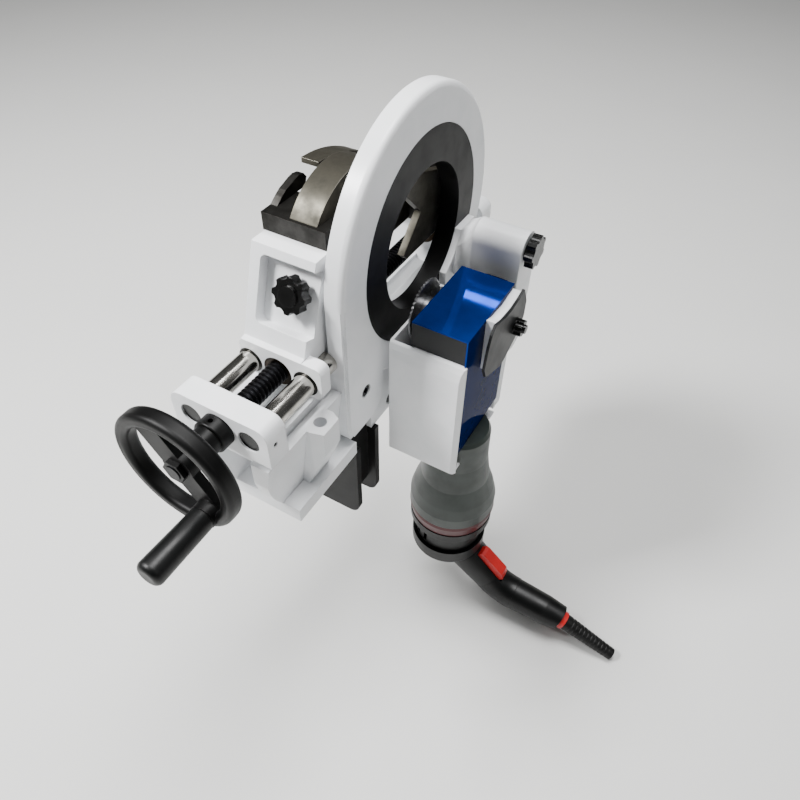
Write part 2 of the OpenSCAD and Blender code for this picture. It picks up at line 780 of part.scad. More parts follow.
pivot_y = 58;
pivot_z = -15;
arm_r = 19;
arm_x = 36;
arm_end = 92;
column_in = arm_x + 16;
column_out = arm_end - 4;
column_front = pivot_y - arm_r + 2;
column_back = pivot_y + 2;
column_z = -246;
stop_z = -192;
ear_x = 57;
ear_w = 24;
ear_r = 12;
module pivot_bracket() {
  color("whitesmoke") difference() {
    union() {
      // Foot on the disc, round the pipe opening
      along_x(0, 8) intersection() {
        difference() {
          circle(rotor_d / 2 - 3);
          circle(opening_d / 2 + 1);
        }
        translate([40, -106]) square([70, 79]);
      }
      // Neck from the foot to the arm
      hull() {
        along_x(6, 1) polygon([[64, -46], [76, -29], [100, -29], [94, -56], [70, -84], [58, -72]]);
        along_x(arm_x, 1) arm_outline($fn = 32);
      }
      along_x(arm_x, arm_end - arm_x) {
        arm_outline();
        polygon([
          [pivot_y - arm_r, pivot_z], [pivot_y - arm_r, -138], [column_back, -138], [pivot_y + 22, -112],
          [pivot_y + 27, -88], [pivot_y + 27, -62], [pivot_y + arm_r, pivot_z]
        ]);
      }
      translate([column_in, column_front, column_z])
        cube([column_out - column_in, column_back - column_front, -100 - column_z]);
      // Stop that the head rests against
      translate([motor_x - 6, 0, stop_z]) bar_y(head_front + head_w + gap, 20, 6);
    }
    // Pocket for the head's ear, open towards the head under the arm's front wall
    along_x(ear_x - gap, ear_w + 2 * gap) {
      translate([pivot_y, pivot_z]) circle(ear_r + 1);
      translate([pivot_y - arm_r + 4, pivot_z - 70]) square([arm_r - 4 + ear_r + 1, 70]);
      translate([pivot_y - arm_r - past, pivot_z - 70]) square([arm_r, 70 - 32]);
    }
    // Column is hollow, and open at its foot
    translate([column_in + 5, column_front + 5, column_z - past])
      cube([column_out - column_in - 10, column_back - column_front - 10, 100]);
    translate([0, pivot_y, pivot_z]) bar_x(arm_x - 8, 80, pivot_d / 2 + seat);
  }
}

module arm_outline() {
  translate([pivot_y, pivot_z]) circle(arm_r);
  translate([pivot_y - arm_r, -76]) square([2 * arm_r, 76 + pivot_z]);
}

knob_x = arm_end + gap;
knob_l = 12;
stub_r = 5;
module pivot_shaft() {
  color("silver") translate([0, pivot_y, pivot_z]) {
    bar_x(arm_x - 8, arm_end - arm_x + 8, pivot_d / 2);
    bar_x(arm_end - past, knob_l - 2 + past, stub_r);
  }
}

module pivot_knob() {
  color("#161616") translate([knob_x, pivot_y, pivot_z]) lobed_knob(18.3, knob_l, 7, stub_r);
}

// Knob with lobes round its rim, along +X from x = 0, with a blind bore for a stub
module lobed_knob(r, len, lobes, bore_r) {
  difference() {
    union() {
      bar_x(0, 3, 0.65 * r);
      bar_x(2, len - 2, r);
    }
    for (i = [0 : lobes - 1]) rotate([i * 360 / lobes, 0, 0]) translate([0, 1.22 * r, 0]) bar_x(1, len, 0.42 * r);
    bar_x(-past, len - 1, bore_r + run);
  }
}

// Saw head

head_back = pivot_y - arm_r - 1.5;
head_front = head_back - head_w - 14;
housing_x = 37;
guard_top = -36;
guard_out = 95.3;
housing_z = -206;
motor_x = 76.5;
motor_y = -36;
arbor_z = -arbor_drop;
module gear_housing() {
  color("#3c3d3f") difference() {
    union() {
      translate([housing_x, head_front + 1, housing_z])
        cube([guard_out - guard_t - housing_x, head_w - 1, guard_top - guard_t - housing_z]);
      // Rib down the front corner
      translate([housing_x - 4, head_front + 1, box_top]) cube([5, 5, guard_top - guard_t - box_top]);
      // Ear on the pivot shaft
      along_x(ear_x, ear_w) {
        translate([pivot_y, pivot_z]) circle(ear_r);
        polygon([[head_front + head_w - 20, -72], [head_front + head_w - 20, -53],
          [pivot_y - 7, -53], [pivot_y - 11.8, pivot_z], [pivot_y + 11.8, pivot_z],
          [pivot_y + 8, -60], [pivot_y, -72]]);
      }
      // Flange that carries the motor
      translate([motor_x, motor_y, housing_z - 1]) cylinder(h = 12, r = 17);
    }
    // Gear chamber
    translate([crown_x - 4, -72, -96]) cube([26, 72, 54]);
    translate([crown_x - 2, motor_y - 23, arbor_z]) cube([15, 46, 60]);
    translate([motor_x, motor_y, -96]) cylinder(h = 23, r = 11.5);
    translate([motor_x, motor_y, housing_z - 20]) cylinder(h = 140, r = 9);
    translate([0, motor_y, arbor_z]) bar_x(housing_x - past, 80, arbor_d / 2 + 2);
    translate([0, motor_y, arbor_z]) bar_x(housing_x - past, 11, bearing_r + seat);
    translate([0, motor_y, arbor_z]) bar_x(guard_out - guard_t - 11, 20, bearing_r + seat);
    translate([0, pivot_y, pivot_z]) bar_x(ear_x - past, ear_w + 2 * past, pivot_d / 2 + run);
  }
}
bearing_r = 13;

box_x = 10;
box_z = -234;
box_top = -69;
box_front = head_front - 7;
module front_cover() {
  color("whitesmoke") difference() {
    union() {
      intersection() {
        along_x(box_x, guard_out + 1.5 - box_x) polygon([
          [head_front, box_top], [head_front - 3, box_top - 2], [head_front - 5.5, box_top - 8],
          [box_front, box_top - 18], [box_front, box_z + 3], [box_front + 3, box_z], [head_front, box_z]
        ]);
        translate([0, 0, box_z - past]) linear_extrude(box_top - box_z + 2 * past) polygon([
          [box_x, head_front], [box_x, box_front + 3], [box_x + 3, box_front],
          [guard_out - 3, box_front], [guard_out + 1.5, head_front - 1], [guard_out + 1.5, head_front]
        ]);
      }
      translate([box_x, head_front, box_z]) cube([housing_x - box_x, head_w, box_top - box_z]);
      translate([box_x, head_front, box_z]) cube([guard_out - box_x, head_w, 3]);
      translate([housing_x, head_front, box_z]) cube([guard_out - housing_x, 1, box_top - box_z]);
    }
    translate([box_x + 3, head_front, box_z + 3]) cube([housing_x - box_x - 3, head_w - 3, 200]);
    translate([motor_x, motor_y, box_z - past]) cylinder(h = 20, r = neck_r + 3);
  }
}

module blade_guard() {
  color("#1f4fb0") difference() {
    union() {
      translate([housing_x - 3, head_front - 1, guard_top - guard_t])
        cube([guard_out - housing_x + 3, head_w + 1, guard_t]);
      translate([guard_out - guard_t, head_front - 1, box_top + seat])
        cube([guard_t, head_w + 1, guard_top - box_top - seat]);
      translate([guard_out - guard_t, head_front + 1 + seat, housing_z])
        cube([guard_t, head_w - 1 - seat, guard_top - housing_z]);
    }
    translate([0, motor_y, arbor_z]) bar_x(guard_out - 3, 5, 6);
  }
}

plate_x = guard_out;
side_plate_t = 9.5;
cover_t = 3;
lock_y = 10;
lock_z = -78;
lock_r = 4;
module side_plate() {
  color("whitesmoke") along_x(plate_x, side_plate_t) difference() {
    polygon([[20, -40], [-8, -43], [-34, -40], [-46, -36], [-46, -100], [20, -118], [36, -114], [36, -70]]);
    translate([lock_y, lock_z]) circle(lock_r + run);
  }
}

module plate_cover() {
  color("#2c2d2f") along_x(plate_x + side_plate_t, cover_t) difference() {
    polygon([
      [22, -38], [8, -41.5], [-9, -43.5], [-22, -43], [-34, -40], [-50, -35], [-57, -43], [-62, -58], [-66, -82],
      [-60, -96], [-20, -112], [-8, -110], [4, -104], [22, -96], [34, -80], [34, -60]
    ]);
    translate([lock_y, lock_z]) circle(lock_r + run);
  }
}

module lock_knob() {
  color("#161616") translate([plate_x + side_plate_t + cover_t + gap, lock_y, lock_z]) {
    difference() {
      bar_x(0, 9, 9.5);
      for (a = [0 : 60 : 300]) rotate([a, 0, 0]) translate([0, 11.6, 0]) bar_x(1, 10, 4);
    }
    bar_x(8, 4, 5);
    bar_x(-cover_t - 8, 12, lock_r);
  }
}

// Motor

band_z = housing_z - 140;
rear_z = band_z - 20;
tail_z = rear_z - 72;
fan_z = housing_z - 78;
stator_r = 42;
module case_profile(inset) {
  polygon([
    [0, housing_z - 1], [neck_r - 3 - inset, housing_z - 1], [neck_r - inset, housing_z - 6],
    [neck_r + 1 - inset, housing_z - 49], [neck_r + 6 - inset, housing_z - 84],
    [case_r - 4 - inset, housing_z - 108], [case_r - inset, housing_z - 124], [case_r - inset, band_z], [0, band_z]
  ]);
}

module motor_case() {
  color("#55605e") translate([motor_x, motor_y, 0]) difference() {
    rotate_extrude() case_profile(0);
    translate([0, 0, band_z - past]) cylinder(h = housing_z - 84 - band_z + past, r = stator_r + seat);
    translate([0, 0, housing_z - 85]) cylinder(h = 60, r = 33);
    translate([0, 0, housing_z - 34]) cylinder(h = 40, r = 13 + seat);
    // Air outlets at the back of the neck
    for (a = [45 : 30 : 165]) rotate(a) translate([25, -3, fan_z + 2]) cube([30, 6, 22]);
  }
}

module motor_band() {
  color("#6e1418") translate([motor_x, motor_y, 0]) difference() {
    rotate_extrude() polygon([[0, rear_z], [case_r - 2, rear_z], [case_r + 0.5, band_z - 5], [case_r, band_z], [0, band_z]]);
    translate([0, 0, rear_z - past]) cylinder(h = band_z - rear_z + 2 * past, r = stator_r + 2);
  }
}

rear_round = 5;
foot_h = 24;
module rear_outer() {
  rotate_extrude() {
    translate([0, tail_z]) square([rear_r - rear_round, rear_z - tail_z]);
    translate([0, tail_z + rear_round]) square([rear_r, foot_h - rear_round]);
    translate([rear_r - rear_round, tail_z + rear_round]) circle(rear_round);
    translate([0, rear_z - 12]) square([case_r - 1, 12]);
  }
}

module rear_housing() {
  color("#19191b") translate([motor_x, motor_y, 0]) difference() {
    rear_outer();
    translate([0, 0, tail_z + 22]) cylinder(h = rear_z - tail_z, r = rear_r - rear_round - 4);
    translate([0, 0, tail_z + 6]) cylinder(h = 40, r = 13 + seat);
    for (a = [110 : 20 : 250]) rotate(a) translate([rear_r - 14, -3, tail_z + foot_h + 4]) cube([20, 6, 28]);
  }
}

// The grip's centre line: a slope, a bend and a nearly level part that meet at a corner point
handle_corner = [motor_x + 88.8, tail_z - 68];
slope = -41;
level = -3;
bend_r = 70;
bend_l = bend_r * tan((level - slope) / 2);
slope_l = 106;
level_l = 71;

// Round bar from a corner of the grip's centre line, at an angle to X, from x = start on
module grip_bar(angle, start, len, r1, r2) {
  translate([handle_corner[0], motor_y, handle_corner[1]]) rotate([0, -angle, 0])
    translate([start, 0, 0]) rotate([0, 90, 0]) cylinder(h = len, r1 = r1, r2 = r2);
}

module handle_outer() {
  grip_bar(slope, -slope_l, slope_l - bend_l + 5, handle_r, bend_grip_r);
  translate([
    handle_corner[0] - bend_l * cos(slope) - bend_r * sin(slope), motor_y,
    handle_corner[1] - bend_l * sin(slope) + bend_r * cos(slope)
  ])
    rotate([90, 0, 0]) rotate(slope - 90) rotate_extrude(angle = level - slope)
      translate([bend_r, 0]) circle(bend_grip_r + 0.5);
  grip_bar(level, bend_l - 5, level_l - bend_l + 5, bend_grip_r, end_grip_r);
  grip_bar(level, level_l, 32, end_grip_r, 17);
}

// The paddle and its pocket, with x down the grip's slope and y square to it
paddle = [[-69, 12], [-69, 31], [-65, 33], [-26, 33], [-18, 27], [-20, 14], [-54, 14], [-56, 12]];
switch_pocket = [[-70.5, 10], [-70.5, 60], [-15, 60], [-15, 8], [-60, 8]];
paddle_pin = [-62, 17];
module on_slope() {
  translate([handle_corner[0], motor_y, handle_corner[1]]) rotate([0, -slope, 0]) rotate([90, 0, 0]) children();
}

module motor_handle() {
  color("#1b1d1e") difference() {
    handle_outer();
    // Flat end that the ring lies against
    sleeve_frame() translate([-50, -50, 0]) cube([100, 100, 60]);
    // Rear housing that the handle grows out of
    translate([motor_x, motor_y, tail_z]) cylinder(h = rear_z - tail_z + 30, r = rear_r);
    // Pocket of the paddle switch
    on_slope() linear_extrude(paddle_w + 2, center = true) polygon(switch_pocket);
    on_slope() translate(paddle_pin) cylinder(h = paddle_w + 10 + gap, r = switch_pin_r + seat, center = true);
    // Bore of the cord sleeve
    sleeve_frame() translate([0, 0, -15]) cylinder(h = 30, r = sleeve_in + seat);
  }
}

sleeve_tilt = 18;
sleeve_in = 7.5;
module sleeve_frame() {
  translate([handle_corner[0] + 92.7, motor_y, handle_corner[1] - 5]) rotate([0, 90 + sleeve_tilt, 0]) children();
}

module handle_ring() {
  color("#c22a2c") sleeve_frame() difference() {
    translate([0, 0, seat]) cylinder(h = 8, r = 13);
    translate([0, 0, -past]) cylinder(h = 20, r = sleeve_in + seat);
  }
}

module cord_sleeve() {
  color("#1a1a1a") sleeve_frame() difference() {
    union() {
      translate([0, 0, -14]) cylinder(h = 24, r = sleeve_in);
      translate([0, 0, 8 + 2 * seat]) cylinder(h = 78, r1 = 11.5, r2 = 8.5);
    }
    translate([0, 0, -20]) cylinder(h = 120, r = 4.5);
  }
}

switch_pin_r = 2;
module switch_pin() {
  color("silver") on_slope() translate(paddle_pin) cylinder(h = paddle_w + 10, r = switch_pin_r, center = true);
}

module paddle_switch() {
  color("#d8232a") difference() {
    on_slope() linear_extrude(paddle_w, center = true) polygon(paddle);
    on_slope() translate(paddle_pin) cylinder(h = 80, r = switch_pin_r + run, center = true);
  }
}

stack_top = housing_z - 94;
module stator() {
  color("#7a5a3a") translate([motor_x, motor_y, 0]) difference() {
    translate([0, 0, band_z]) cylinder(h = stack_top - band_z, r = stator_r);
    translate([0, 0, band_z - past]) cylinder(h = stack_top - band_z + 2 * past, r = 27);
  }
}

module motor_bearings() {
  color("silver") translate([motor_x, motor_y, 0]) for (z = [housing_z - 10, tail_z + 12]) difference() {
    translate([0, 0, z]) cylinder(h = 9, r = 13);
    translate([0, 0, z - past]) cylinder(h = 12, r = armature_r + run);
  }
}

armature_r = 5;
pinion_z = arbor_z - 18;
pinion_l = 6;
tooth_t = 1.3;
module armature() {
  color("#9a9a9c") translate([motor_x, motor_y, 0]) {
    translate([0, 0, tail_z + 12]) cylinder(h = pinion_z - tail_z - 12, r = armature_r);
    translate([0, 0, band_z + 4]) cylinder(h = stack_top - band_z - 8, r = 26.5);
    translate([0, 0, rear_z - 26]) cylinder(h = 20, r = 14);
    translate([0, 0, pinion_z - pinion_l / 2]) {
      cylinder(h = pinion_l, r = 7.4);
      for (i = [0 : pinion_teeth - 1]) rotate((i + 0.5) * 360 / pinion_teeth)
        translate([0, -tooth_t / 2, 0]) cube([10.2, tooth_t, pinion_l]);
    }
  }
}

module cooling_fan() {
  color("#8a8a80") translate([motor_x, motor_y, fan_z]) difference() {
    union() {
      cylinder(h = 3, r = 31);
      cylinder(h = 14, r = 10);
      for (i = [0 : 11]) rotate(i * 30) translate([8, -1, 0]) cube([22.5, 2, 14]);
    }
    translate([0, 0, -past]) cylinder(h = 20, r = armature_r + seat);
  }
}

// Blade spindle

blade_x = 21;
crown_x = 57;
crown_teeth_x = 66;
module blade_arbor() {
  color("silver") translate([0, motor_y, arbor_z]) difference() {
    union() {
      bar_x(14.5, 77, arbor_d / 2);
      bar_x(blade_x + blade_t, 5, 14);
    }
    bar_x(14, 4, 3);
  }
}

module arbor_bearings() {
  color("silver") translate([0, motor_y, arbor_z]) for (x = [housing_x + 0.5, guard_out - guard_t - 11]) difference() {
    bar_x(x, 9.5, bearing_r);
    bar_x(x - past, 12, arbor_d / 2 + run);
  }
}

module crown_gear() {
  color("#8f9092") translate([0, motor_y, arbor_z]) difference() {
    union() {
      bar_x(crown_x, crown_teeth_x - crown_x, 20.5);
      for (i = [0 : crown_teeth - 1]) rotate([i * 360 / crown_teeth, 0, 0])
        translate([crown_teeth_x - 1, -tooth_t / 2, 15]) cube([3.4, tooth_t, 5.5]);
    }
    bar_x(crown_x - past, 20, arbor_d / 2 + seat);
  }
}

// One point of the blade's edge: every tooth rises slowly and falls steeply
function tooth_point(i, k) = let (a = (i + [0, 0.75, 0.9][k]) * 360 / blade_teeth, r = blade_d / 2 - [2.2, 0, 0.2][k])
  [r * cos(a), r * sin(a)];

module saw_blade() {
  color("silver") translate([0, motor_y, arbor_z]) difference() {
    along_x(blade_x, blade_t) polygon([for (i = [0 : blade_teeth - 1], k = [0 : 2]) tooth_point(i, k)]);
    bar_x(blade_x - past, blade_t + 2 * past, arbor_d / 2 + seat);
    for (a = [45 : 90 : 315]) rotate([a, 0, 0]) translate([0, 19, 0]) bar_x(blade_x - past, 5, 2);
  }
}

module blade_nut() {
  color("gray") translate([0, motor_y, arbor_z]) difference() {
    union() {
      bar_x(blade_x - 2, 2, 14);
      translate([blade_x - 6, 0, 0]) rotate([0, 90, 0]) cylinder(h = 5, r = 12, $fn = 6);
    }
    bar_x(blade_x - 10, 12, arbor_d / 2 + seat);
  }
}

base_casting();
guide_rods();
rod_screws();
screw_bushes();
ring_plate();
ring_bolts();
bearing_outer();
bearing_balls();
bearing_retainer();
bench_bracket();
bracket_bolts();
carriage();
carriage_bushes();
lead_nut();
jaw_block();
claw_main();
claw_side();
jaw_bolts();
far_carriage();
far_nut();
far_jaw_block();
far_claws();
far_jaw_bolts();
lead_screw();
thrust_collar();
handwheel();
wheel_nut();
grip_pin();
crank_grip();
star_knob();
rotor_disc();
bearing_inner();
circlip();
pivot_bracket();
pivot_shaft();
pivot_knob();
gear_housing();
front_cover();
blade_guard();
side_plate();
plate_cover();
lock_knob();
arbor_bearings();
motor_case();
motor_band();
rear_housing();
motor_handle();
handle_ring();
cord_sleeve();
stator();
motor_bearings();
switch_pin();
armature();
cooling_fan();
blade_arbor();
crown_gear();
saw_blade();
blade_nut();
paddle_switch();
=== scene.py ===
# %% [markdown]
# # A portable pipe cutting machine
# The machine grips its work in the claws of a vise and carries a small motor saw round it on a
# ring bearing. All its parts come as a finished frame of solids, so this scene is about how
# they look: enamel, ground steel, moulded nylon, and the few shapes that a solid leaves plain,
# such as a screw thread.

import math

import bmesh
import bpy
import numpy as np
from mathutils import Matrix, Vector


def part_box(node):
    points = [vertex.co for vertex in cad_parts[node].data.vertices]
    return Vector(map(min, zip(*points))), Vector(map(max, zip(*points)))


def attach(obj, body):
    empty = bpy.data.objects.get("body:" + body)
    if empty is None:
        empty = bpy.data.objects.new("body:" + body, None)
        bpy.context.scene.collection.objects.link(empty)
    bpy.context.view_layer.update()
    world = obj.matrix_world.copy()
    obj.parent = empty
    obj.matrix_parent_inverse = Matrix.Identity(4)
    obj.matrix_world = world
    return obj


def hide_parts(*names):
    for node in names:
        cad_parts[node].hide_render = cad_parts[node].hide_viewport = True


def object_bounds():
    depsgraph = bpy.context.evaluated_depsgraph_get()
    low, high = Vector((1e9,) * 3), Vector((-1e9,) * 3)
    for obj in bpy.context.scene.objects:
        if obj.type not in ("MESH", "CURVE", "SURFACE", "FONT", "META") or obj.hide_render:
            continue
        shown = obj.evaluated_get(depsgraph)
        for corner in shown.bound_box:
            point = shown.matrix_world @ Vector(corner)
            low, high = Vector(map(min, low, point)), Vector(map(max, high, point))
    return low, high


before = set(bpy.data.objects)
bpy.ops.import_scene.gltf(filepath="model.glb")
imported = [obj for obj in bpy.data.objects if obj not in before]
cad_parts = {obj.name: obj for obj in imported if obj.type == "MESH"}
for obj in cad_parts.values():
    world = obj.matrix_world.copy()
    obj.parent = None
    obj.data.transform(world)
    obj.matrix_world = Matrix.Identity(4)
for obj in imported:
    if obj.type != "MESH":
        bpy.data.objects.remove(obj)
cad_low, cad_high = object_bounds()
print("frame box, mm:", [round(1000 * v) for v in cad_low], [round(1000 * v) for v in cad_high])

# %% [markdown]
# ## Camera
# The picture that this scene follows looks down on the machine from its front right, close
# enough for a strong perspective. A camera is fixed by where it stands, where it looks and how
# it is tilted, so those are stated as numbers, and its other two axes follow from cross
# products. A tracking constraint would aim it too, but wouldn't give the slight tilt.

# %% Camera
CAMERA_AT = Vector((0.2773, -0.5390, 0.3879))
AZIMUTH, ELEVATION, ROLL = math.radians(29.34), math.radians(46.06), math.radians(1.09)
FOCAL_PIXELS, FRAME_PIXELS = 681.6, 800
SENSOR_MM, NEAREST_M = 36, 0.01

across, ahead = -math.sin(AZIMUTH), math.cos(AZIMUTH)
look = Vector((across * math.cos(ELEVATION), ahead * math.cos(ELEVATION), -math.sin(ELEVATION)))
level = look.cross(Vector((0, 0, 1))).normalized()
upright = level.cross(look)
right = math.cos(ROLL) * level + math.sin(ROLL) * upright
up = right.cross(look)
turn = Matrix((right, up, -look)).transposed()

camera = bpy.data.objects.new("camera", bpy.data.cameras.new("camera"))
bpy.context.scene.collection.objects.link(camera)
camera.matrix_world = Matrix.Translation(CAMERA_AT) @ turn.to_4x4()
camera.data.sensor_width = SENSOR_MM
camera.data.lens = FOCAL_PIXELS / FRAME_PIXELS * SENSOR_MM
camera.data.clip_start = NEAREST_M
bpy.context.scene.camera = camera
print("lens, mm:", round(camera.data.lens, 2))

# %% [markdown]
# ## Floor and light
# A studio lights a machine with soft boxes, and how wide each one is says how soft its shadows
# are. The key light stands on the left and is fairly small, so the castings keep their shading
# and black parts their edges. A wide one overhead fills the tops, a weak one on the right opens
# the dark side, and the world is almost black, because a bright one would wash the blacks out.
# The floor is so wide that its edge is far behind everything.

# %% Floor and light
LIT_POINT = (0, 0, -0.1)
WORLD_STRENGTH = 0.08
FLOOR_SIZE, FLOOR_GAP = 40, 0.001
FLOOR_Z = cad_low.z - FLOOR_GAP

# Each one's place and side in metres, and its power in watts
SOFT_BOXES = {
    "key_light": ((-1.25, -1.15, 1.75), 0.55, 120),
    "side_light": ((2.2, -0.3, 1.3), 1.0, 5),
    "top_light": ((0.1, 0.3, 2.4), 1.2, 95),
}

# Two lamp tubes high behind the machine, which only show as bright bands in glossy tops. Each
# has its own distance behind, width in metres and power in watts
TUBE_X, TUBE_Z, TUBE_LENGTH = -0.66, 1.5, 0.3
TUBES = ((1.865, 0.055, 1.3), (1.99, 0.035, 0.9))


def soft_box(name, at, towards, size, power):
    """A square area light of that size in metres at a point, turned towards another point."""
    lamp = bpy.data.objects.new(name, bpy.data.lights.new(name, "AREA"))
    lamp.data.size, lamp.data.energy = size, power
    lamp.location = at
    lamp.rotation_euler = (Vector(towards) - Vector(at)).to_track_quat("-Z", "Y").to_euler()
    bpy.context.scene.collection.objects.link(lamp)
    print(name, "watts:", power)
    return lamp


for name, (at, size, power) in SOFT_BOXES.items():
    soft_box(name, at, LIT_POINT, size, power)
for number, (y, width, power) in enumerate(TUBES):
    tube = soft_box(f"tube_{number}", (TUBE_X, y, TUBE_Z), (TUBE_X, y, 0), TUBE_LENGTH, power)
    tube.data.shape, tube.data.size_y = "RECTANGLE", width

world = bpy.data.worlds.new("studio")
world.use_nodes = True
background = world.node_tree.nodes["Background"]
background.inputs["Color"].default_value = (1, 1, 1, 1)
background.inputs["Strength"].default_value = WORLD_STRENGTH
bpy.context.scene.world = world

bpy.ops.mesh.primitive_plane_add(size=FLOOR_SIZE, location=(0, 0, FLOOR_Z))
floor = bpy.context.object
floor.name = "floor"

# %% [markdown]
# ## Colours and nodes
# Every finish below is a small graph of nodes. Colours are written as the sRGB hex values that
# one would pick in a paint program, and one function turns them into the linear light that the
# renderer works in. A second function adds a node with its settings and what feeds it, and a
# third starts a material, with the object's own coordinates to lay patterns in.

# %% Colours and nodes
MM = 0.001


def linear(hex_colour):
    """sRGB hex to linear RGBA: x / 12.92 for dark values, else ((x + 0.055) / 1.055) ** 2.4."""
    srgb = np.array([int(hex_colour[i : i + 2], 16) for i in (1, 3, 5)]) / 255
    rgb = np.where(srgb <= 0.04045, srgb / 12.92, ((srgb + 0.055) / 1.055) ** 2.4)
    return (*rgb.tolist(), 1.0)


def add(tree, kind, settings=None, **inputs):
    """Adds a node. Settings are its properties. An input is a value, or the socket that feeds it.
    An input's underscores stand for spaces, and one named i3 is the input of that number."""
    node = tree.nodes.new(kind)
    for key, value in (settings or {}).items():
        setattr(node, key, value)
    for key, value in inputs.items():
        numbered = key[0] == "i" and key[1:].isdigit()
        socket = node.inputs[int(key[1:])] if numbered else node.inputs[key.replace("_", " ")]
        if isinstance(value, bpy.types.NodeSocket):
            tree.links.new(value, socket)
        else:
            socket.default_value = value
    return node


def blank(name):
    """A material with an empty graph but for its shader, and the object's own coordinates."""
    material = bpy.data.materials.new(name)
    material.use_nodes = True
    tree = material.node_tree
    shader = tree.nodes["Principled BSDF"]
    place = add(tree, "ShaderNodeTexCoord").outputs["Object"]
    print("finish:", name)
    return material, tree, shader, place


print("sRGB #808080 in linear light:", round(linear("#808080")[0], 3))

# %% [markdown]
# ## Masks and relief
# No real surface is even: paint clouds, edges wear, and every tool and mould leaves a grain. Each
# of these is a mask from 0 to 1, made by a noise or by comparing normals, which mixes two colours,
# varies the gloss or feeds a bump. A noise in the object's own coordinates needs no unwrapping,
# and its scale follows from a size in millimetres.

# %% Masks and relief
CLAMPED, BEVELLED = {"clamp": True}, {"samples": 4}

# A mix node in colour takes its factor at input 0, its colours at 6 and 7, and gives output 2
IN_COLOUR, MIXED = {"data_type": "RGBA"}, 2


def spots(tree, place, size_mm, low, high, detail=3.0, stretch=None):
    """Noise with features of about size_mm, cut between low and high to a mask from 0 to 1.
    stretch scales it on each axis, so a small number draws the features out along that axis."""
    if stretch is not None:
        place = add(tree, "ShaderNodeMapping", Vector=place, Scale=stretch).outputs["Vector"]
    scale = 1 / (size_mm * MM)
    noise = add(tree, "ShaderNodeTexNoise", Vector=place, Scale=scale, Detail=detail, Roughness=0.6)
    fac = noise.outputs["Fac"]
    mask = add(tree, "ShaderNodeMapRange", CLAMPED, Value=fac, From_Min=low, From_Max=high)
    return mask.outputs["Result"]


def edge_mask(tree, radius_mm, low=0.02, high=0.25):
    """1 along sharp edges: 1 - (the normal rounded over radius_mm) . (the face's own normal), cut
    between low and high."""
    rounded = add(tree, "ShaderNodeBevel", BEVELLED, Radius=radius_mm * MM).outputs["Normal"]
    own = add(tree, "ShaderNodeNewGeometry").outputs["Normal"]
    dot = add(tree, "ShaderNodeVectorMath", {"operation": "DOT_PRODUCT"}, i0=rounded, i1=own)
    agree = dot.outputs["Value"]
    differ = add(tree, "ShaderNodeMath", {"operation": "SUBTRACT"}, i0=1.0, i1=agree).outputs["Value"]
    mask = add(tree, "ShaderNodeMapRange", CLAMPED, Value=differ, From_Min=low, From_Max=high)
    return mask.outputs["Result"]


def relief(tree, height, depth_mm, round_mm):
    """A bump of that depth over edges that are rounded by round_mm."""
    rounded = add(tree, "ShaderNodeBevel", BEVELLED, Radius=round_mm * MM).outputs["Normal"]
    depth = depth_mm * MM
    bump = add(tree, "ShaderNodeBump", Strength=1.0, Distance=depth, Height=height, Normal=rounded)
    return bump.outputs["Normal"]


print("noise scale for spots of 1 mm:", 1 / MM)

# %% [markdown]
# ## Painted castings
# The frame is grey iron, cast in sand, rubbed down and sprayed with white enamel. The enamel
# pools a little, so it has a soft orange peel of about 2 mm, and it is thin on the edges, where
# handling has taken it off. The rims of the castings could be cut round in the mesh, but a
# rounded normal along every edge stands for the thick paint there and costs no faces.

# %% Painted castings
CLOUD_MM, GRIT_MM, PEEL_MM, RUBBED_MM = 38, 2.6, 2.2, 0.9


def enamel(
    name, colour, cloudy, worn, shine=0.28, spread=0.12, peel=0.02, chips=0.55, round_mm=1.2, gloss=0.5
):
    """Paint: clouds of a second tone, chips along the edges, orange peel in the gloss. Its roughness
    is shine + spread * clouds, and it is chipped by edge * grit * chips. peel is the depth of the
    orange peel in mm, and gloss the specular level."""
    material, tree, shader, place = blank(name)
    clouds = spots(tree, place, CLOUD_MM, low=0.42, high=0.75)
    painted = add(tree, "ShaderNodeMix", IN_COLOUR, i0=clouds, i6=linear(colour), i7=linear(cloudy))
    grit = spots(tree, place, GRIT_MM, low=0.45, high=0.62, detail=5)
    edge = edge_mask(tree, RUBBED_MM)
    gritty = add(tree, "ShaderNodeMath", {"operation": "MULTIPLY"}, i0=edge, i1=grit).outputs["Value"]
    chipped = add(tree, "ShaderNodeMath", {"operation": "MULTIPLY"}, i0=gritty, i1=chips).outputs["Value"]
    used = add(tree, "ShaderNodeMix", IN_COLOUR, i0=chipped, i6=painted.outputs[MIXED], i7=linear(worn))
    tree.links.new(used.outputs[MIXED], shader.inputs["Base Color"])
    rough = add(tree, "ShaderNodeMapRange", Value=clouds, To_Min=shine, To_Max=shine + spread)
    tree.links.new(rough.outputs["Result"], shader.inputs["Roughness"])
    orange = add(tree, "ShaderNodeTexNoise", Vector=place, Scale=1 / (PEEL_MM * MM), Detail=2)
    tree.links.new(relief(tree, orange.outputs["Fac"], peel, round_mm), shader.inputs["Normal"])
    shader.inputs["Specular IOR Level"].default_value = gloss
    return material


# Sprayed on cast iron: a cool white with a soft gloss, grey where edges are rubbed
white_enamel = enamel("white_enamel_on_iron", "#f7f8fa", "#eef1f3", "#a4a4a0")

# Baked on pressed sheet: a deep blue mirror. Its flakes make it half a metal, dark at a grazing look
blue_enamel = enamel(
    "blue_enamel_on_sheet", "#0a2f80", "#08286e", "#3f4f6c",
    shine=0.03, spread=0.02, peel=0.001, round_mm=0.5, gloss=0.1,
)
blue_shader = blue_enamel.node_tree.nodes["Principled BSDF"]
blue_shader.inputs["Metallic"].default_value = 0.6
blue_shader.inputs["Specular Tint"].default_value = linear("#1c2c50")

